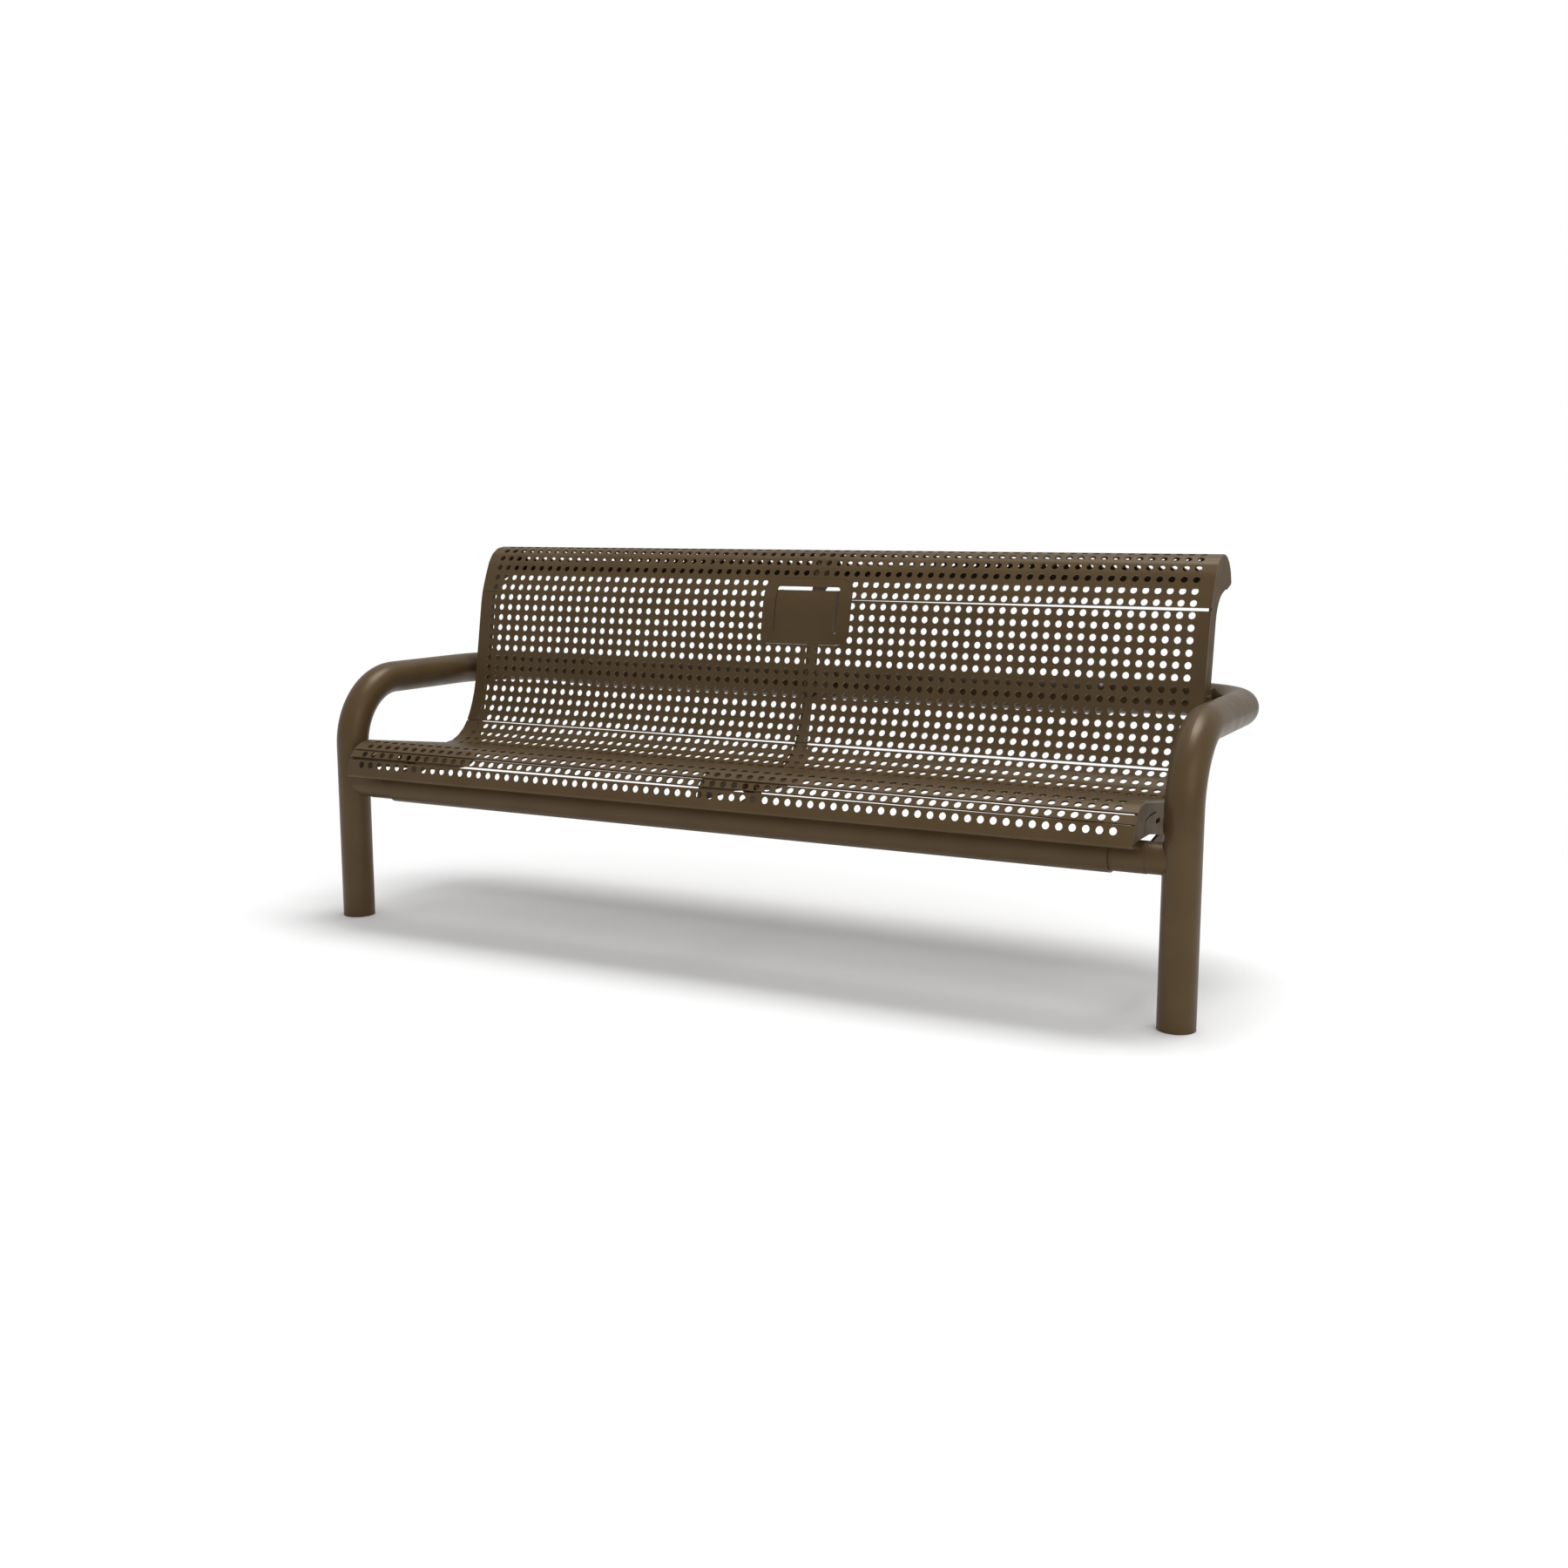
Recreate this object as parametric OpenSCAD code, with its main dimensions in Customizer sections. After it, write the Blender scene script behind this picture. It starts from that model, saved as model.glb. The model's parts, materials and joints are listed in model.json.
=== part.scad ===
// Perforated steel memorial bench on a bent tube frame.
// Millimetres. X runs along the bench, front is -Y, Z is up.
// The origin is on the ground, midway between the axes of the two legs.

/* [Bench] */
// Height of the sheet's middle surface at the crown of the seat's front
seat_height = 421.2; // [390:0.1:506]
// Height of the armrest tube's axis above the crown of the seat's front
arm_rise = 132.8; // [110:0.1:165]
// Free space between the backrest ribs and the back tube
back_gap = 82; // [70:1:120]
// Free space between the sheet's end and the leg
leg_gap = 30.3; // [20:0.1:60]

/* [Perforated sheet] */
// Spacing of the holes, along the bench and along the curve
hole_pitch = 25.4; // [22:0.1:31]
// Diameter of one hole
hole_d = 14.9; // [8:0.1:18]
// Number of holes in one row
hole_columns = 70; // [40:2:80]
// Thickness of the sheet
sheet_t = 3.8; // [2:0.1:5]
// Plain margin from the last hole's centre to the sheet's end
sheet_margin = 38.1; // [25:0.1:60]
// Width of the widest seam between two pressed panels, at its open end
seam_open = 7.4; // [0:0.1:7.4]
// Width of a closed seam
seam_closed = 0.5; // [0.4:0.1:1]

/* [Frame tubes] */
// Outer diameter of the leg, armrest and back tube
frame_od = 73; // [60:0.1:88]
// Wall of the leg, armrest and back tube
frame_wall = 5.2; // [3:0.1:7]
// Bend radius of the frame tube's axis
bend_r = 150; // [120:1:180]
// Straight length of a leg frame's tube from its rear bend to the joint
joint_lead = 159.2; // [90:0.1:400]
// Outer diameter of the beam's end sleeves
sleeve_od = 62; // [58:0.1:64]
// Wall of the beam's centre tube, which slides over the sleeves
beam_wall = 3.7; // [3:0.1:5]
// Outer diameter of the stubs on the legs
stub_od = 60.4; // [56:0.1:62]
// Wall of the sleeves and stubs
stub_wall = 4; // [3:0.1:6]

/* [Ribs and brackets] */
// Thickness of the ribs
rib_t = 6; // [5:0.5:8]
// Middle of the centre rib along the bench
rib_x = 11; // [-20:0.5:20]
// Depth of the backrest part of a rib behind the sheet
rib_depth = 48; // [40:0.5:60]
// Thickness of the bracket plates
bracket_t = 6; // [4:0.5:8]
// Diameter of the bracket bolts
bolt_d = 10; // [8:1:12]

/* [Plaque] */
// Width of the plain panel around the plaque
panel_w = 222; // [214:1:226]
// Width of the window in the plain panel
window_w = 159; // [140:1:170]
// Width of the open slit at the right edge of the bare plaque plate
plate_slit = 9.3; // [2:0.1:20]
// Depth of the plaque plate's folded side edges
plate_fold = 18; // [10:1:22]

/* [Hidden] */
// Direction of the sheet at chosen rows, in degrees turned forward from
// straight up. Rows between them follow by straight lines.
turns = [
    [-4, 19], [0, 99], [1, 121.5], [2, 143.5], [3, 156], [5, 159.5], [6, 166.5],
    [7, 170.5], [14, 170.5], [18, 150.5], [19, 139], [20, 125], [21, 113],
    [22, 96], [23, 82], [33, 82], [34, 96.5], [35, 116.5], [36, 138.5], [37, 165.5]
];
row_first = -4;
// The row before this one is the plain margin along the rear fold
first_holes = -3;
row_last = 37;
// The last row above each seam
seam_top = 5;
seam_back = 18;
seam_seat = 35;
seam_nose = 36;
crown_row = 33;
// Distance from the legs' axes forward to the last row
front_reach = 87.7;

hole_r = hole_d / 2;
half_w = (hole_columns - 1) / 2 * hole_pitch + sheet_margin;
bend_len = hole_pitch - hole_d - 1;
flat_len = (hole_pitch - bend_len) / 2;
fold_r = sheet_t;
rear_corner = 11.8;
rear_fold = 94.3;
rear_lip = 34;
front_corner = 27.2;
front_fold = 94;
front_flange = 50;

arm_height = seat_height + arm_rise;
leg_x = half_w + leg_gap + frame_od / 2;
back_joint_x = leg_x - bend_r - joint_lead;
frame_r = frame_od / 2;
frame_inner = frame_r - frame_wall;
sleeve_r = sleeve_od / 2;
stub_r = stub_od / 2;
slip = 0.2;
// The back's middle tube hangs this far below the leg frames' tubes
joint_drop = 2.2;
contact = 0.1;
beam_r = sleeve_r + slip + beam_wall;
// Neighbouring strips of one sheet run this far into each other, and its
// bends are thinner and shorter by twice the skin, so no two faces coincide
lap = 0.1;
skin = 0.02;

// Geometry of the sheet's path in the Y-Z plane
function heading(k) = lookup(k, turns);
function dir(h) = [-sin(h), cos(h)];
function inward(h) = [-cos(h), -sin(h)];
function turn(k) = heading(k + 1) - heading(k);
function is_flat(k) = abs(turn(k)) < 0.01;
function bend_radius(k) = bend_len / (abs(turn(k)) * PI / 180);
function step(k) =
    let (half = abs(turn(k)) / 2,
         chord = is_flat(k) ? bend_len : 2 * bend_radius(k) * sin(half))
    flat_len * dir(heading(k)) + chord * dir(heading(k) + turn(k) / 2)
    + flat_len * dir(heading(k + 1));
function trail(k, p) =
    k > row_last ? [] : concat([p], trail(k + 1, p + step(k)));
raw = trail(row_first, [0, 0]);
shift = [-front_reach - raw[row_last - row_first][0],
         seat_height - raw[crown_row - row_first][1]];
function spot(k) = raw[k - row_first] + shift;
function near(k, along, deep) =
    spot(k) + along * dir(heading(k)) + deep * inward(heading(k));
function mitre(k) = flat_len + bend_radius(k) * tan(abs(turn(k)) / 2);

// Corner points of an outline, each rounded by its own radius
function unit(v) = v / norm(v);
function rounded_corner(a, b, c, r) =
    let (u = unit(a - b),
         v = unit(c - b),
         half = acos(u * v) / 2,
         o = b + unit(u + v) * r / sin(half),
         s = b + u * r / tan(half) - o,
         e = b + v * r / tan(half) - o,
         w = 180 - 2 * half)
    [for (i = [0 : 6]) o + (sin((6 - i) * w / 6) * s + sin(i * w / 6) * e) / sin(w)];
function rounded(pts, radii) = [
    for (i = [1 : len(pts) - 2])
        for (p = rounded_corner(pts[i - 1], pts[i], pts[i + 1], radii[i - 1])) p
];
function line_meet(p, u, q, v) =
    let (d = u[0] * v[1] - u[1] * v[0], w = q - p)
    p + u * (w[0] * v[1] - w[1] * v[0]) / d;

// Folded rear lip and front flange of the sheet
lip_heading = heading(row_first) - rear_fold;
lip_corner = spot(row_first) - rear_corner * dir(heading(row_first));
lip_setback = fold_r * tan(rear_fold / 2);
lip_start = lip_corner - lip_setback * dir(lip_heading);
flange_heading = heading(row_last) + front_fold;
flange_corner = spot(row_last) + front_corner * dir(heading(row_last));
flange_setback = fold_r * tan(front_fold / 2);
flange_start = flange_corner + flange_setback * dir(flange_heading);

// Outline of a rib: the sheet's inner side, then the underside and the rear
function inner_side(k) =
    let (t = sheet_t / 2)
    turn(k) > 0.01 ? [near(k, flat_len, t), near(k + 1, -flat_len, t)]
    : turn(k) < -0.01
        ? [near(k, flat_len + (bend_radius(k) + t) * tan(-turn(k) / 2), t)]
    : [];
lip_inner = lip_start + sheet_t / 2 * inward(lip_heading);
neck = line_meet(lip_inner, dir(lip_heading), near(5, 0, rib_depth - 6),
                 near(11, 0, rib_depth) - near(5, 0, rib_depth - 6));
waist = near(11, 4, rib_depth);
end_under = [near(33, -30.4, 59.8), near(22, 22.2, 67.5), near(20, 7.1, 102.4)];
centre_under = [near(30, 2, 47.8), near(23, -1.7, 46.1), near(20, -11.8, 86.4)];
under_radii = [60, 150, 60];
function rib_outline(under) =
    let (low = under[0][1],
         nose = near(row_last, 0, sheet_t / 2),
         drop = (nose[1] - low) / -dir(heading(row_last))[1],
         chin = near(row_last, drop, sheet_t / 2))
    concat(
        [lip_inner],
        [near(row_first, lip_setback - rear_corner, sheet_t / 2)],
        [for (k = [row_first : row_last - 1]) for (p = inner_side(k)) p],
        [chin],
        rounded(concat([chin], under, [waist, neck, lip_inner]),
                concat(under_radii, [200, 70]))
    );

// Frame positions that follow from the ribs
rear_slope = (waist[0] - end_under[2][0]) / (waist[1] - end_under[2][1]);
rear_at_arm = waist[0] + (arm_height - waist[1]) * rear_slope;
back_y = rear_at_arm + back_gap + frame_r;
beam_z = end_under[0][1] - 5.4 - beam_r;
beam_half = half_w - 64.4;
sleeve_in = beam_half - 70;
sleeve_out = half_w + 3.6;
end_rib_x = half_w - rib_t / 2;
beam_pad = near(27, 0, 42);
seat_bolts = [beam_pad + [-15, 0], beam_pad + [15, 0]];
back_bolts = [
    [rear_at_arm - 16 - 15 * rear_slope, arm_height - 15],
    [rear_at_arm - 16 + 15 * rear_slope, arm_height + 15]
];

bronze = [0.33, 0.27, 0.2];
steel = [0.7, 0.7, 0.68];

// Sets a drawing on the sheet's path: X along the bench, Y along the path,
// Z towards the ribs
module on_path(p, h) {
    translate([0, p[0], p[1]])
        rotate([90 + h, 0, 0])
            children();
}

module strip(from, to) {
    translate([-half_w, from, -sheet_t / 2])
        cube([2 * half_w, to - from, sheet_t]);
}

module arc_strip(p, h, angle, r) {
    side = sign(angle);
    on_path(p, h)
        translate([0, 0, side * r])
            rotate([0, side * 90, 0])
                rotate_extrude(angle = abs(angle), $fn = 96)
                    translate([r - sheet_t / 2 + skin, skin - half_w])
                        square([sheet_t - 2 * skin, 2 * (half_w - skin)]);
}

// One row of holes. Each edge is a list of [x, distance from the row].
function straight_edge(d) = [[-half_w, d], [half_w, d]];
function row_edge(k) = is_flat(k) ? hole_pitch / 2 : flat_len;
function has_hole(k, x) =
    k >= first_holes && (k < 4 || k > 9 || abs(x) > panel_w / 2 - hole_r / 2);

module row_band(k, near_edge, far_edge) {
    n = len(far_edge);
    on_path(spot(k), heading(k))
        translate([0, 0, -sheet_t / 2])
            linear_extrude(sheet_t)
                difference() {
                    polygon(concat(
                        [for (p = near_edge) [p[0], -p[1]]],
                        [for (i = [1 : n]) far_edge[n - i]]
                    ));
                    for (i = [0 : hole_columns - 1]) {
                        x = (i - (hole_columns - 1) / 2) * hole_pitch;
                        if (has_hole(k, x))
                            translate([x, 0])
                                circle(r = hole_r, $fn = 48);
                    }
                }
}

module bend_between(k) {
    if (!is_flat(k))
        arc_strip(spot(k) + flat_len * dir(heading(k)), heading(k), turn(k),
                  bend_radius(k));
}

module perforated(first, last, near_edge, far_edge) {
    for (k = [first : last])
        row_band(k,
                 k == first ? near_edge : straight_edge(row_edge(k - 1) + lap),
                 k == last ? far_edge : straight_edge(row_edge(k) + lap));
    if (last > first)
        for (k = [first : last - 1])
            bend_between(k);
}

// Edge of a panel at a seam. Each place is [share of the sheet's half width,
// share of the widest seam that is cut from this panel].
widest = min(seam_open, 0.7 * (hole_pitch - hole_d));
function seam_edge(k, places) = [
    for (p = places)
        [p[0] * half_w,
         mitre(k) - sheet_t / 2 * tan(abs(turn(k)) / 2) - seam_closed / 2 - p[1] * widest]
];
top_above = [[-1, 0], [-0.12, 0], [0.12, 0.23], [1, 0.5]];
top_below = [[-1, 0], [-0.12, 0], [0.12, -0.09], [1, 0.41]];
back_above = [[-1, 0.39], [1, 0.39]];
back_below = [[-1, 0], [-0.49, 0.02], [0.25, 0.42], [1, 0.5]];
seat_above = [[-1, -0.17], [-0.1, -0.17], [0.24, -0.1], [1, 0.02]];
seat_below = [[-1, 0.41], [-0.1, 0.44], [0.24, 0.48], [1, 0.5]];
nose_above = [[-1, 0.5], [0, 0.5], [0.36, 0.38], [0.78, 0.21], [0.87, 0.11], [1, 0.11]];
nose_below = [[-1, 0.14], [-0.64, 0.11], [0, -0.04], [0.36, -0.11], [0.78, -0.16], [1, -0.1]];

// Turned edge behind a panel's lower border, open where the ribs pass
turned_depth = 14;
turned_t = 1.9;
module turned_edge(k, edge) {
    n = len(edge);
    pass = rib_t + 2;
    on_path(spot(k), heading(k))
        linear_extrude(turned_depth - sheet_t / 2)
            difference() {
                polygon(concat(
                    [for (p = edge) [p[0], p[1] - turned_t]],
                    [for (i = [1 : n]) edge[n - i] - [0, skin]]
                ));
                for (x = [-end_rib_x, rib_x, end_rib_x])
                    translate([x - pass / 2, 0])
                        square([pass, 2 * hole_pitch]);
            }
}

// Rounded outline of the plaque's panel, seen from the front
panel_top = (spot(3)[1] + spot(4)[1]) / 2;
panel_low = (spot(9)[1] + spot(10)[1]) / 2;
module rounded_field(w, low, high, radii) {
    a = [-w / 2, low];
    b = [w / 2, low];
    c = [w / 2, high];
    d = [-w / 2, high];
    translate([0, spot(4)[0] + 25, 0])
        rotate([90, 0, 0])
            linear_extrude(spot(4)[0] - spot(10)[0] + 60)
                polygon(rounded([d, a, b, c, d, a], radii));
}

module panel_field(grow) {
    rounded_field(panel_w + 2 * grow, panel_low - grow, panel_top + grow,
                  [14 + grow, 34 + grow, 34 + grow, 34 + grow]);
}

module plain_shell(depth) {
    for (k = [3 : 10])
        on_path(spot(k), heading(k))
            translate([-panel_w / 2 - 5, -row_edge(k - 1) - lap, -sheet_t / 2])
                cube([panel_w + 10, row_edge(k - 1) + row_edge(k) + 2 * lap, depth]);
    for (k = [3 : 9])
        if (!is_flat(k))
            on_path(spot(k) + flat_len * dir(heading(k)), heading(k))
                translate([0, 0, bend_radius(k)])
                    rotate([0, 90, 0])
                        rotate_extrude(angle = turn(k), $fn = 96)
                            translate([bend_radius(k) + sheet_t / 2 - depth + skin, -panel_w / 2 - 5])
                                square([depth - 2 * skin, panel_w + 10]);
}

// Perforated panels
module sheet_top() {
    color(bronze)
        difference() {
            union() {
                perforated(row_first, seam_top,
                           straight_edge(rear_corner - lip_setback + lap),
                           seam_edge(seam_top, top_above));
                turned_edge(seam_top, seam_edge(seam_top, top_above));
                arc_strip(lip_start, lip_heading, rear_fold, fold_r);
                on_path(lip_start, lip_heading)
                    strip(-rear_lip, lap);
            }
            panel_field(seam_closed);
        }
}

module sheet_back() {
    color(bronze)
        difference() {
            union() {
                perforated(seam_top + 1, seam_back,
                           seam_edge(seam_top, top_below),
                           seam_edge(seam_back, back_above));
                turned_edge(seam_back, seam_edge(seam_back, back_above));
            }
            panel_field(seam_closed);
        }
}

module sheet_seat() {
    color(bronze)
        perforated(seam_back + 1, seam_seat,
                   seam_edge(seam_back, back_below),
                   seam_edge(seam_seat, seat_above));
}

module sheet_nose() {
    color(bronze)
        perforated(seam_nose, seam_nose,
                   seam_edge(seam_seat, seat_below),
                   seam_edge(seam_nose, nose_above));
}

module sheet_front() {
    color(bronze) {
        perforated(row_last, row_last,
                   seam_edge(seam_nose, nose_below),
                   straight_edge(front_corner - flange_setback + lap));
        arc_strip(spot(row_last) + (front_corner - flange_setback) * dir(heading(row_last)),
                  heading(row_last), front_fold, fold_r);
        on_path(flange_start, flange_heading)
            strip(-lap, front_flange);
    }
}

// Plain panel with a window, set flush in the perforated sheet
window_low = near(9, -14, 0)[1];
window_high = near(4, 7.7, 0)[1];
plate_high = window_high - 8;
plate_gap = 1.7;
module plaque_panel() {
    color(bronze)
        difference() {
            intersection() {
                plain_shell(sheet_t);
                panel_field(0);
            }
            rounded_field(window_w, window_low, window_high, [1.5, 1.5, 6, 6]);
        }
}

// Bare plaque plate with folded side edges, standing in the window
module plaque_plate() {
    left = -window_w / 2 + plate_gap;
    plate_w = window_w - plate_gap - plate_slit;
    color(bronze)
        intersection() {
            difference() {
                plain_shell(plate_fold);
                intersection() {
                    translate([left + sheet_t, 0, 0])
                        cube([plate_w - 2 * sheet_t, back_y, 4 * seat_height]);
                    difference() {
                        plain_shell(plate_fold + 1);
                        plain_shell(sheet_t);
                    }
                }
            }
            translate([left, 0, window_low])
                cube([plate_w, back_y, plate_high - window_low]);
        }
}

// Ribs
module rib_plate(x, under) {
    translate([x - rib_t / 2, 0, 0])
        rotate([90, 0, 90])
            linear_extrude(rib_t)
                polygon(rib_outline(under));
}

module cross_holes(x, depth) {
    for (p = concat(seat_bolts, back_bolts))
        translate([x - depth / 2, p[0], p[1]])
            rotate([0, 90, 0])
                cylinder(d = bolt_d + 1, h = depth, $fn = 32);
}

function side_step(a, b, d) = let (u = unit(b - a)) d * [-u[1], u[0]];
function beside(pts, d) = [
    for (i = [0 : len(pts) - 1])
        i == 0 ? pts[0] + side_step(pts[0], pts[1], d)
        : i == len(pts) - 1 ? pts[i] + side_step(pts[i - 1], pts[i], d)
        : line_meet(pts[i] + side_step(pts[i - 1], pts[i], d), pts[i] - pts[i - 1],
                    pts[i] + side_step(pts[i], pts[i + 1], d), pts[i + 1] - pts[i])
];

module nose_cuts(x) {
    slot = [near(33, -67, 19), near(33, -26.5, 24.7), near(33, 0.5, 33.6), near(33, 6.5, 55.6)];
    back = beside(slot, -1.5);
    translate([x - rib_t, 0, 0])
        rotate([90, 0, 90])
            linear_extrude(2 * rib_t) {
                polygon(concat(beside(slot, 1.5), [for (i = [1 : 4]) back[4 - i]]));
                translate(near(33, -84, 35.5) - [14, 4.5])
                    square([28, 9]);
            }
}

module end_rib(side) {
    color(bronze)
        difference() {
            rib_plate(side * end_rib_x, end_under);
            cross_holes(side * end_rib_x, 3 * rib_t);
            nose_cuts(side * end_rib_x);
        }
}

module rib_left() {
    end_rib(-1);
}

module rib_right() {
    end_rib(1);
}

module rib_centre() {
    color(bronze)
        difference() {
            rib_plate(rib_x, centre_under);
            cross_holes(rib_x, 3 * rib_t);
        }
}

// Frame
module tube_bend(r_out, r_in) {
    rotate_extrude(angle = 90, $fn = 96)
        translate([bend_r, 0])
            difference() {
                circle(r = r_out, $fn = 64);
                if (r_in > 0)
                    circle(r = r_in, $fn = 64);
            }
}

module pipe(r_out, r_in, h) {
    difference() {
        cylinder(r = r_out, h = h, $fn = 96);
        translate([0, 0, -1])
            cylinder(r = r_in, h = h + 2, $fn = 96);
    }
}

module rod(r, h) {
    cylinder(r = r, h = h, $fn = 96);
}

// Right-hand frame tube: leg, armrest and the start of the back tube
module frame_path(r_out, r_in) {
    translate([leg_x, 0, 0])
        pipe(r_out, r_in, arm_height - bend_r);
    translate([leg_x, bend_r, arm_height - bend_r])
        rotate([180, 0, 0])
            rotate([0, -90, 0])
                rotate([0, 0, 90])
                    tube_bend(r_out, r_in);
    translate([leg_x, bend_r, arm_height])
        rotate([-90, 0, 0])
            pipe(r_out, r_in, back_y - 2 * bend_r);
    translate([leg_x - bend_r, back_y - bend_r, arm_height])
        tube_bend(r_out, r_in);
    translate([back_joint_x, back_y, arm_height])
        rotate([0, 90, 0])
            pipe(r_out, r_in, leg_x - bend_r - back_joint_x);
}

// Joint of the back tube: its inner sleeve and the screw near it
joint_wall = 4.3;
joint_sleeve_len = 160;
screw_tilt = 37;
screw_d = 5.9;
screw_inset = 12;
screw_start = frame_inner - 7;
module at_screws() {
    for (side = [-1, 1])
        translate([side * (back_joint_x - screw_inset), back_y, arm_height - joint_drop])
            rotate([90 - screw_tilt, 0, 0])
                children();
}

module screw_holes(d) {
    at_screws()
        translate([0, 0, screw_start])
            cylinder(d = d, h = 20, $fn = 32);
}

module leg_frame_right() {
    color(bronze)
        frame_path(frame_r, frame_inner);
}

module leg_frame_left() {
    color(bronze)
        mirror([1, 0, 0])
            frame_path(frame_r, frame_inner);
}

module back_tube() {
    color(bronze)
        difference() {
            translate([-back_joint_x, back_y, arm_height - joint_drop])
                rotate([0, 90, 0])
                    pipe(frame_r, frame_inner, 2 * back_joint_x);
            screw_holes(screw_d + 1.1);
        }
}

// The inner sleeve fits both tubes of a joint in spite of their drop
module joint_sleeve(side) {
    r = frame_inner - slip - joint_drop / 2;
    color(bronze)
        difference() {
            translate([side * back_joint_x - joint_sleeve_len / 2, back_y,
                       arm_height - joint_drop / 2])
                rotate([0, 90, 0])
                    pipe(r, r - joint_wall, joint_sleeve_len);
            screw_holes(screw_d + 0.1);
        }
}

module joint_sleeve_left() {
    joint_sleeve(-1);
}

module joint_sleeve_right() {
    joint_sleeve(1);
}

module joint_screws() {
    color(steel)
        at_screws() {
            translate([0, 0, screw_start])
                cylinder(d = screw_d, h = frame_r - screw_start, $fn = 32);
            translate([0, 0, frame_r])
                difference() {
                    cylinder(d1 = 12, d2 = 9, h = 3, $fn = 32);
                    translate([0, 0, 1.2])
                        cylinder(d = 4.6, h = 3, $fn = 6);
                }
        }
}

module beam_tube() {
    color(bronze)
        translate([-beam_half, 0, beam_z])
            rotate([0, 90, 0])
                pipe(beam_r, sleeve_r + slip, 2 * beam_half);
}

module beam_sleeve(side) {
    color(bronze)
        translate([side > 0 ? sleeve_in : -sleeve_out, 0, beam_z])
            rotate([0, 90, 0])
                pipe(sleeve_r, sleeve_r - stub_wall, sleeve_out - sleeve_in);
}

module beam_sleeve_left() {
    beam_sleeve(-1);
}

module beam_sleeve_right() {
    beam_sleeve(1);
}

module beam_stub(side) {
    color(bronze)
        difference() {
            translate([side > 0 ? sleeve_out : -leg_x, 0, beam_z])
                rotate([0, 90, 0])
                    pipe(stub_r, stub_r - stub_wall, leg_x - sleeve_out);
            translate([side * leg_x, 0, beam_z - 50])
                rod(frame_r + contact, 100);
        }
}

module beam_stub_left() {
    beam_stub(-1);
}

module beam_stub_right() {
    beam_stub(1);
}

// Brackets between the ribs and the frame
module side_plate(x, t, pts) {
    translate([x, 0, 0])
        rotate([90, 0, 90])
            linear_extrude(t)
                polygon(pts);
}

// Where the back tube's axis runs at a place along the bench
function axis_y(x) =
    let (into = max(0, abs(x) - leg_x + bend_r))
    back_y - bend_r + sqrt(bend_r * bend_r - into * into);

module back_tube_space() {
    r = frame_r + contact;
    translate([-back_joint_x, back_y, arm_height - joint_drop])
        rotate([0, 90, 0])
            rod(r, 2 * back_joint_x);
    for (m = [0, 1])
        mirror([m, 0, 0]) {
            translate([back_joint_x, back_y, arm_height])
                rotate([0, 90, 0])
                    rod(r, joint_lead);
            translate([leg_x - bend_r, back_y - bend_r, arm_height])
                tube_bend(r, 0);
        }
}

back_bracket_half = 30;
back_bracket_lap = 32;
module back_bracket(x) {
    half = back_bracket_half;
    front = rear_at_arm - back_bracket_lap;
    rear = axis_y(x + bracket_t / 2);
    color(bronze)
        difference() {
            side_plate(x, bracket_t, [
                [front - half * rear_slope, arm_height - half], [rear, arm_height - half],
                [rear, arm_height + half], [front + half * rear_slope, arm_height + half]
            ]);
            cross_holes(x, 4 * bracket_t);
            back_tube_space();
        }
}

module back_bracket_left() {
    back_bracket(-half_w + rib_t);
}

module back_bracket_centre() {
    back_bracket(rib_x + rib_t / 2);
}

module back_bracket_right() {
    back_bracket(half_w - rib_t - bracket_t);
}

module beam_bracket(x, r) {
    color(bronze)
        difference() {
            side_plate(x, bracket_t, [
                beam_pad + [-28, -16], beam_pad + [-28, 14], beam_pad + [28, 14],
                beam_pad + [28, -26], [26, beam_z - 26], [0, beam_z - 20],
                [0, beam_z + 8], [32, beam_z + 12]
            ]);
            cross_holes(x, 4 * bracket_t);
            translate([x - 1, 0, beam_z])
                rotate([0, 90, 0])
                    rod(r + contact, bracket_t + 2);
        }
}

module beam_bracket_left() {
    beam_bracket(-half_w + rib_t, sleeve_r);
}

module beam_bracket_centre() {
    beam_bracket(rib_x + rib_t / 2, beam_r);
}

module beam_bracket_right() {
    beam_bracket(half_w - rib_t - bracket_t, sleeve_r);
}

// Bolts, washers and nuts of the brackets. The head is on the rib's side.
bolt_places = [
    [half_w, -1],
    [-half_w, 1],
    [rib_x - rib_t / 2, 1]
];
head_h = 0.64 * bolt_d;
washer_t = 2;
nut_h = 0.8 * bolt_d;

module at_bolts() {
    for (b = bolt_places)
        for (p = concat(seat_bolts, back_bolts))
            translate([b[0], p[0], p[1]])
                rotate([0, b[1] * 90, 0])
                    children();
}

module bracket_bolts() {
    color(steel)
        at_bolts() {
            cylinder(d = bolt_d, h = rib_t + bracket_t + washer_t + nut_h + 3, $fn = 32);
            translate([0, 0, -head_h])
                cylinder(d = 1.85 * bolt_d, h = head_h, $fn = 6);
        }
}

module bracket_washers() {
    color(steel)
        at_bolts()
            translate([0, 0, rib_t + bracket_t])
                difference() {
                    cylinder(d = 2 * bolt_d, h = washer_t, $fn = 48);
                    translate([0, 0, -1])
                        cylinder(d = bolt_d + 0.6, h = washer_t + 2, $fn = 32);
                }
}

module bracket_nuts() {
    color(steel)
        at_bolts()
            translate([0, 0, rib_t + bracket_t + washer_t])
                difference() {
                    cylinder(d = 1.85 * bolt_d, h = nut_h, $fn = 6);
                    translate([0, 0, -1])
                        cylinder(d = bolt_d + 0.2, h = nut_h + 2, $fn = 32);
                }
}

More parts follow.
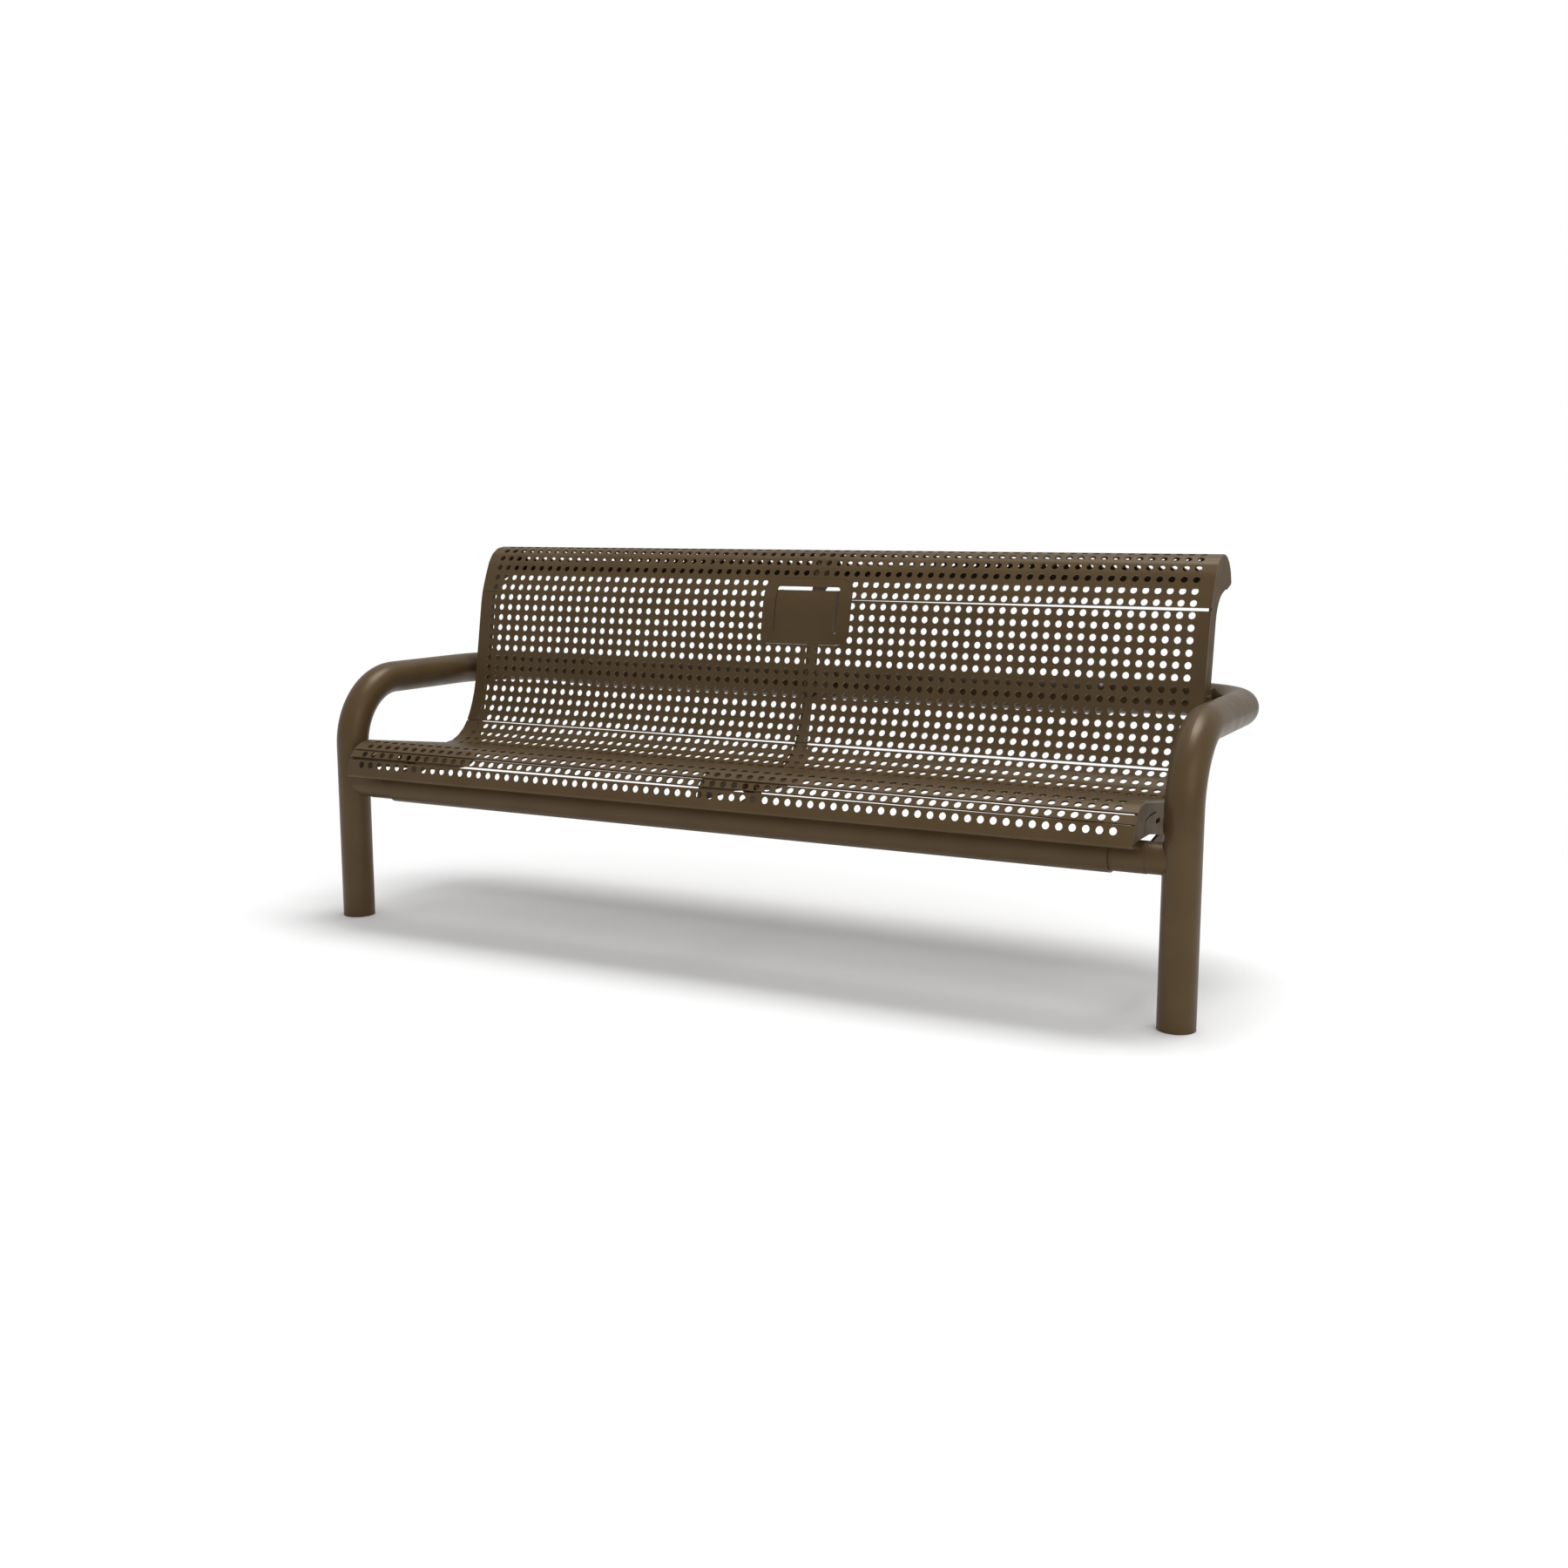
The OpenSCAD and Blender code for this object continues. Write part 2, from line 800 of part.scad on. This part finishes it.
leg_frame_left();
leg_frame_right();
back_tube();
joint_sleeve_left();
joint_sleeve_right();
joint_screws();
beam_tube();
beam_sleeve_left();
beam_sleeve_right();
beam_stub_left();
beam_stub_right();
rib_left();
rib_centre();
rib_right();
sheet_top();
sheet_back();
sheet_seat();
sheet_nose();
sheet_front();
plaque_panel();
plaque_plate();
back_bracket_left();
back_bracket_centre();
back_bracket_right();
beam_bracket_left();
beam_bracket_centre();
beam_bracket_right();
bracket_bolts();
bracket_washers();
bracket_nuts();
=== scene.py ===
"""Looks of a perforated steel memorial bench: powder coated sheet, ribs and tubes."""

import json
import math

import bpy
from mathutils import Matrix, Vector


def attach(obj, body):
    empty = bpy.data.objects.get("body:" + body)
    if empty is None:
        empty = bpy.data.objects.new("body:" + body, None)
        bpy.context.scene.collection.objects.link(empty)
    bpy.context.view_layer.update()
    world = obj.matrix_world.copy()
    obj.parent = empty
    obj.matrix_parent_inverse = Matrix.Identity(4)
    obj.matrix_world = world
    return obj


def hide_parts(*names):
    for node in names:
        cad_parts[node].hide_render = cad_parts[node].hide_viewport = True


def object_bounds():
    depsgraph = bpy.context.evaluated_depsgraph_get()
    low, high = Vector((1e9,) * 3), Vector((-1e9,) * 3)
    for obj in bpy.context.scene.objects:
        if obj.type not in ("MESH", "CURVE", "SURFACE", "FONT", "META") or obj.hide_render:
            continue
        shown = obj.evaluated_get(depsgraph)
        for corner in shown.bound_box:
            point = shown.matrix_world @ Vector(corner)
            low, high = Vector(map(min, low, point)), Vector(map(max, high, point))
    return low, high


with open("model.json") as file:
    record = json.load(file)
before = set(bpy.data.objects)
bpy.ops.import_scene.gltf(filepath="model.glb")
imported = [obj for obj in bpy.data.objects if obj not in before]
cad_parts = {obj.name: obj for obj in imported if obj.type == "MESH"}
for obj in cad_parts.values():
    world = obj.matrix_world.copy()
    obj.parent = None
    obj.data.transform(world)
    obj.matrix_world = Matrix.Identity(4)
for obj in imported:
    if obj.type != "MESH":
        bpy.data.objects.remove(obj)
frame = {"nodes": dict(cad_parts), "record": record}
cad_low, cad_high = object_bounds()
slots = {s["node"]: s["material_slot"] for s in frame["record"]["subparts"]}

# Colours are linear light
BRONZE = (0.0830, 0.0515, 0.0215)
BRONZE_DARK = (0.0740, 0.0450, 0.0182)
BRONZE_PALE = (0.0910, 0.0575, 0.0255)
SHEEN_TINT = (1.0, 0.80, 0.60, 1.0)
STEEL = (0.56, 0.56, 0.54)
WHITE = (1.0, 1.0, 1.0, 1.0)
# The floor has two colours: what the camera sees, and a darker one that every
# other ray meets. The second is fitted to the undersides in the photograph.
FLOOR_COLOUR = 0.99
FLOOR_BOUNCE = 0.82
FLOOR_HALF = 60.0
FLOOR_GAP = 0.0005
# Distances from the middle at which the floor starts to turn plain white and is so
FLOOR_FADE = (1.7, 2.8)

# Lowest and highest roughness of each coat, and the steel's middle roughness
SHEET_GLOSS = (0.36, 0.44)
TUBE_GLOSS = (0.32, 0.39)
PLATE_GLOSS = (0.56, 0.66)
STEEL_ROUGHNESS = 0.30
COAT_LEVEL = 0.42
COAT_IOR = 1.5

# The light: the world's strength, and each lamp's place, aim, size and power
WORLD_STRENGTH = 0.57
TOP_LAMP = ((0.90, 1.70, 8.8), (0.11, 0.2, 0.0), (4.2, 4.2), 450.0)
FILL_LAMP = ((3.4, -2.4, 2.6), (0.0, 0.2, 0.5), (3.0, 3.0), 30.0)

# The back rail: axes of the leg frames' tubes and of the middle tube in the CAD
RAIL_Y = 0.54941
RAIL_Z = 0.5540
MIDDLE_Z = 0.5518
SLEEVE_Z = 0.5529
# Shown: the middle tube lower than its node and turned, with its sleeves and
# screws. 4.1 mm is a judgement between 3.3, from the tube's edges in the
# photograph, and 5.0, which scored best on the holes around it.
MIDDLE_DROP = 0.0041
SLEEVE_DROP = 0.00205
SLEEVE_SHARE = 0.932
RAIL_TURN = math.radians(13.5)
# The joint screws in the CAD: place along the rail, direction, and the reach of
# the sleeve's hole
SCREW_X = 0.660
SCREW_TILT = math.radians(37.0)
SCREW_HOLE_R = 0.0032
# Reach of the centre bracket's hollow round the middle tube's axis
SADDLE_R = 0.0368
JOINT_X = 0.672
# Shown: the collar over each leg frame's end, as (x from the joint, radius, drop)
COLLAR = [
    (0.0003, 0.03640, 0.0),
    (0.0003, 0.03790, 0.0014),
    (0.0745, 0.03790, 0.0014),
    (0.0760, 0.03700, 0.0006),
    (0.0760, 0.03640, 0.0),
]
COLLAR_SIDES = 96
COLLAR_SHARP = math.radians(30)
# Shown: the borders above two seams, cut back to a plain edge. For each sheet
# the (y, z) of its last row of holes and the sheet's heading there in degrees.
BORDERS = {
    "sheet_top": (0.425393, 0.761291, 159.5),
    "sheet_back": (0.349841, 0.441545, 150.5),
}
BORDER_REACH = 0.016
BORDER_FROM = 0.010
BORDER_DEPTH = 0.0026
# Shown: the plaque plate's side folds, reaching further back so that no sight
# line passes behind them. The place and normal of the plate's front.
PLATE_PLACE = Vector((-0.004, 0.406849, 0.687418))
PLATE_NORMAL = Vector((0.0, -0.986286, 0.165048))
FOLD_FROM = 0.010
FOLD_MORE = 0.003

# The photograph's camera
CAMERA_PLACE = (1.73584, -2.99207, 0.93781)
CAMERA_TILT = 80.926
CAMERA_TURN = 27.741
CAMERA_LENS = 38.62
SENSOR = 36.0


class Nodes:
    """Short calls for building one material's node tree."""

    def __init__(self, name):
        self.material = bpy.data.materials.new(name)
        self.material.use_nodes = True
        self.tree = self.material.node_tree
        self.tree.nodes.clear()

    def add(self, kind, links=None, **values):
        node = self.tree.nodes.new(kind)
        for key, value in values.items():
            if key in node.inputs:
                node.inputs[key].default_value = value
            else:
                setattr(node, key, value)
        for key, source in (links or {}).items():
            self.tree.links.new(source, node.inputs[key])
        return node

    def noise(self, place, scale, detail=2.0):
        node = self.add("ShaderNodeTexNoise", {"Vector": place}, Scale=scale, Detail=detail)
        return node.outputs["Fac"]

    def ramp(self, value, stops):
        node = self.add("ShaderNodeValToRGB", {"Fac": value})
        bar = node.color_ramp
        while len(bar.elements) < len(stops):
            bar.elements.new(0.5)
        for element, (at, colour) in zip(bar.elements, stops):
            element.position = at
            element.color = colour
        return node.outputs["Color"]


def grey(value):
    return (value, value, value, 1.0)


def powder_coat(name, gloss_low, gloss_high):
    """Satin bronze powder coat: slow colour drift, fine orange peel, uneven gloss."""
    n = Nodes(name)
    place = n.add("ShaderNodeTexCoord").outputs["Object"]
    drift = n.noise(place, 9.0, 3.0)
    colour = n.ramp(drift, [
        (0.30, (*BRONZE_DARK, 1.0)),
        (0.52, (*BRONZE, 1.0)),
        (0.72, (*BRONZE_PALE, 1.0)),
    ])
    rough = n.ramp(n.noise(place, 26.0, 3.0), [
        (0.35, grey(gloss_low)),
        (0.65, grey(gloss_high)),
    ])
    peel = n.noise(place, 620.0, 1.5)
    bump = n.add("ShaderNodeBump", {"Height": peel}, Strength=0.06, Distance=0.0006)
    shader = n.add(
        "ShaderNodeBsdfPrincipled",
        {"Base Color": colour, "Roughness": rough, "Normal": bump.outputs["Normal"]},
    )
    shader.inputs["IOR"].default_value = COAT_IOR
    shader.inputs["Specular IOR Level"].default_value = COAT_LEVEL
    shader.inputs["Specular Tint"].default_value = SHEEN_TINT
    n.add("ShaderNodeOutputMaterial", {"Surface": shader.outputs["BSDF"]})
    return n.material


def bare_steel(name, steel, roughness):
    """Plated steel with fine turning marks and a little dulling."""
    n = Nodes(name)
    place = n.add("ShaderNodeTexCoord").outputs["Object"]
    colour = n.ramp(n.noise(place, 180.0), [
        (0.3, (*[0.86 * part for part in steel], 1.0)),
        (0.7, (*steel, 1.0)),
    ])
    rough = n.ramp(n.noise(place, 420.0, 3.0), [
        (0.3, grey(roughness - 0.06)),
        (0.7, grey(roughness + 0.08)),
    ])
    marks = n.add("ShaderNodeBump", {"Height": n.noise(place, 1500.0)}, Strength=0.08,
                  Distance=0.0002)
    shader = n.add(
        "ShaderNodeBsdfPrincipled",
        {"Base Color": colour, "Roughness": rough, "Normal": marks.outputs["Normal"]},
    )
    shader.inputs["Metallic"].default_value = 1.0
    n.add("ShaderNodeOutputMaterial", {"Surface": shader.outputs["BSDF"]})
    return n.material


def floor_paint(near, far):
    """White floor that takes the shadow near the bench and is plain white away from it."""
    n = Nodes("floor_paint")
    place = n.add("ShaderNodeTexCoord").outputs["Object"]
    away = n.add("ShaderNodeVectorMath", {0: place}, operation="LENGTH").outputs["Value"]
    fade = n.add("ShaderNodeMapRange", {"Value": away})
    fade.interpolation_type = "SMOOTHSTEP"
    fade.inputs["From Min"].default_value = near
    fade.inputs["From Max"].default_value = far
    paint = n.add("ShaderNodeBsdfDiffuse", Color=grey(FLOOR_COLOUR))
    plain = n.add("ShaderNodeEmission", Color=WHITE, Strength=1.0)
    seen = n.add("ShaderNodeLightPath").outputs["Is Camera Ray"]
    share = n.add("ShaderNodeMath", {0: fade.outputs["Result"], 1: seen}, operation="MULTIPLY")
    look = n.add(
        "ShaderNodeMixShader",
        {0: share.outputs["Value"], 1: paint.outputs["BSDF"], 2: plain.outputs["Emission"]},
    )
    bounce = n.add("ShaderNodeBsdfDiffuse", Color=grey(FLOOR_BOUNCE))
    mix = n.add(
        "ShaderNodeMixShader",
        {0: seen, 1: bounce.outputs["BSDF"], 2: look.outputs["Shader"]},
    )
    n.add("ShaderNodeOutputMaterial", {"Surface": mix.outputs["Shader"]})
    return n.material


def paint_frame():
    """Gives every CAD node its finish: tubes smoothest, plates and bolts dullest."""
    coat = powder_coat("powder_coat", *SHEET_GLOSS)
    tube_coat = powder_coat("powder_coat_tube", *TUBE_GLOSS)
    plate_coat = powder_coat("powder_coat_plate", *PLATE_GLOSS)
    screw_steel = bare_steel("screw_steel", STEEL, STEEL_ROUGHNESS)
    for name, node in frame["nodes"].items():
        finish = coat
        if slots[name] == "screw_steel":
            finish = screw_steel
        elif name.startswith(("leg_frame", "back_tube", "beam_tube")):
            finish = tube_coat
        elif name.startswith(("rib", "plaque", "back_bracket", "beam_bracket", "bracket")):
            finish = plate_coat
        node.data.materials.clear()
        node.data.materials.append(finish)


def show(piece):
    """Puts a piece in the scene, on the bench's one body."""
    bpy.context.scene.collection.objects.link(piece)
    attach(piece, "root")


def restate(name, move):
    """Shows a copy of a CAD node whose points are moved, in that node's place."""
    mesh = frame["nodes"][name].data.copy()
    for vertex in mesh.vertices:
        vertex.co = move(vertex.co)
    piece = bpy.data.objects.new("shown_" + name, mesh)
    show(piece)
    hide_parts(name)


def border_cut(y, z, heading):
    """Draws the turned edge behind a sheet's lower border back to a plain edge."""
    h = math.radians(heading)
    along = Vector((0.0, -math.sin(h), math.cos(h)))
    deep = Vector((0.0, -math.cos(h), -math.sin(h)))
    row = Vector((0.0, y, z))

    def move(point):
        place = point - row
        depth = place.dot(deep)
        if depth > BORDER_FROM and abs(place.dot(along)) < BORDER_REACH:
            return point - (depth - BORDER_DEPTH) * deep
        return point

    return move


def rail_turned(axis_z, share, drop):
    """Turns points round the rail's axis, scales them towards it and lowers them."""
    c, s = math.cos(RAIL_TURN), math.sin(RAIL_TURN)

    def move(point):
        y, z = (point.y - RAIL_Y) * share, (point.z - axis_z) * share
        return Vector((point.x, RAIL_Y + y * c + z * s, axis_z - y * s + z * c - drop))

    return move


def sleeve_turned(point):
    """Moves a joint sleeve. The rim of its hole goes with the screw, to stay clear of it."""
    y, z = point.y - RAIL_Y, point.z - MIDDLE_Z
    out = z * math.sin(SCREW_TILT) - y * math.cos(SCREW_TILT)
    off = z * math.cos(SCREW_TILT) + y * math.sin(SCREW_TILT)
    if out > 0 and math.hypot(abs(point.x) - SCREW_X, off) < SCREW_HOLE_R:
        return rail_turned(MIDDLE_Z, 1.0, MIDDLE_DROP)(point)
    return rail_turned(SLEEVE_Z, SLEEVE_SHARE, SLEEVE_DROP)(point)


def saddle_lowered(point):
    """Lowers the hollow in which the back tube lies."""
    if math.hypot(point.y - RAIL_Y, point.z - MIDDLE_Z) < SADDLE_R:
        return point - Vector((0.0, 0.0, MIDDLE_DROP))
    return point


def fold_deepened(point):
    """Moves the rear edge of the plaque plate's folds further back."""
    if (PLATE_PLACE - point).dot(PLATE_NORMAL) > FOLD_FROM:
        return point - FOLD_MORE * PLATE_NORMAL
    return point


def make_collar(name, side, coat):
    """Collar round the leg frame's end, fitted. It stays in the CAD's box on top and behind."""
    rings, faces = len(COLLAR), []
    points = []
    for x, radius, drop in COLLAR:
        for i in range(COLLAR_SIDES):
            a = 2 * math.pi * i / COLLAR_SIDES
            points.append((side * (JOINT_X + x), RAIL_Y - drop + radius * math.cos(a),
                           RAIL_Z - drop + radius * math.sin(a)))
    for k in range(rings):
        for i in range(COLLAR_SIDES):
            j = (i + 1) % COLLAR_SIDES
            here, there = k * COLLAR_SIDES, (k + 1) % rings * COLLAR_SIDES
            face = (here + i, here + j, there + j, there + i)
            faces.append(face if side < 0 else face[::-1])
    mesh = bpy.data.meshes.new(name)
    mesh.from_pydata(points, [], faces)
    mesh.shade_smooth()
    mesh.set_sharp_from_angle(angle=COLLAR_SHARP)
    mesh.materials.append(coat)
    show(bpy.data.objects.new(name, mesh))


def restate_frame():
    """Replaces the nodes that the photograph shows a little differently."""
    for name, place in BORDERS.items():
        restate(name, border_cut(*place))
    restate("back_tube", rail_turned(MIDDLE_Z, 1.0, MIDDLE_DROP))
    restate("joint_screws", rail_turned(MIDDLE_Z, 1.0, MIDDLE_DROP))
    for side in ("left", "right"):
        restate("joint_sleeve_" + side, sleeve_turned)
    restate("back_bracket_centre", saddle_lowered)
    restate("plaque_plate", fold_deepened)
    coat = frame["nodes"]["back_tube"].data.materials[0]
    make_collar("joint_collar_left", -1, coat)
    make_collar("joint_collar_right", 1, coat)


def make_floor():
    r = FLOOR_HALF
    corners = [(-r, -r, 0), (r, -r, 0), (r, r, 0), (-r, r, 0)]
    mesh = bpy.data.meshes.new("floor")
    mesh.from_pydata(corners, [], [(0, 1, 2, 3)])
    floor = bpy.data.objects.new("floor", mesh)
    bpy.context.scene.collection.objects.link(floor)
    floor.location.z = cad_low.z - FLOOR_GAP
    mesh.materials.append(floor_paint(*FLOOR_FADE))


def make_world(strength):
    world = bpy.data.worlds.new("studio")
    world.use_nodes = True
    tree = world.node_tree
    tree.nodes.clear()
    lit = tree.nodes.new("ShaderNodeBackground")
    lit.inputs["Color"].default_value = WHITE
    lit.inputs["Strength"].default_value = strength
    seen = tree.nodes.new("ShaderNodeBackground")
    seen.inputs["Color"].default_value = WHITE
    seen.inputs["Strength"].default_value = 1.0
    path = tree.nodes.new("ShaderNodeLightPath")
    mix = tree.nodes.new("ShaderNodeMixShader")
    out = tree.nodes.new("ShaderNodeOutputWorld")
    tree.links.new(path.outputs["Is Camera Ray"], mix.inputs[0])
    tree.links.new(lit.outputs[0], mix.inputs[1])
    tree.links.new(seen.outputs[0], mix.inputs[2])
    tree.links.new(mix.outputs[0], out.inputs["Surface"])
    bpy.context.scene.world = world


def make_lamp(name, place, aim, size, power):
    lamp = bpy.data.lights.new(name, "AREA")
    lamp.shape = "RECTANGLE"
    lamp.size, lamp.size_y = size
    lamp.energy = power
    thing = bpy.data.objects.new(name, lamp)
    thing.location = place
    thing.rotation_mode = "QUATERNION"
    thing.rotation_quaternion = (Vector(aim) - Vector(place)).to_track_quat("-Z", "Y")
    bpy.context.scene.collection.objects.link(thing)


def make_camera():
    camera = bpy.data.cameras.new("camera")
    camera.lens = CAMERA_LENS
    camera.sensor_width = SENSOR
    camera.clip_start = 0.05
    camera.clip_end = 200.0
    thing = bpy.data.objects.new("camera", camera)
    thing.location = CAMERA_PLACE
    thing.rotation_euler = (math.radians(CAMERA_TILT), 0.0, math.radians(CAMERA_TURN))
    bpy.context.scene.collection.objects.link(thing)
    bpy.context.scene.camera = thing


paint_frame()
restate_frame()
make_floor()
make_world(WORLD_STRENGTH)
make_lamp("top", *TOP_LAMP)
make_lamp("fill", *FILL_LAMP)
make_camera()
bpy.context.scene.view_settings.view_transform = "Standard"
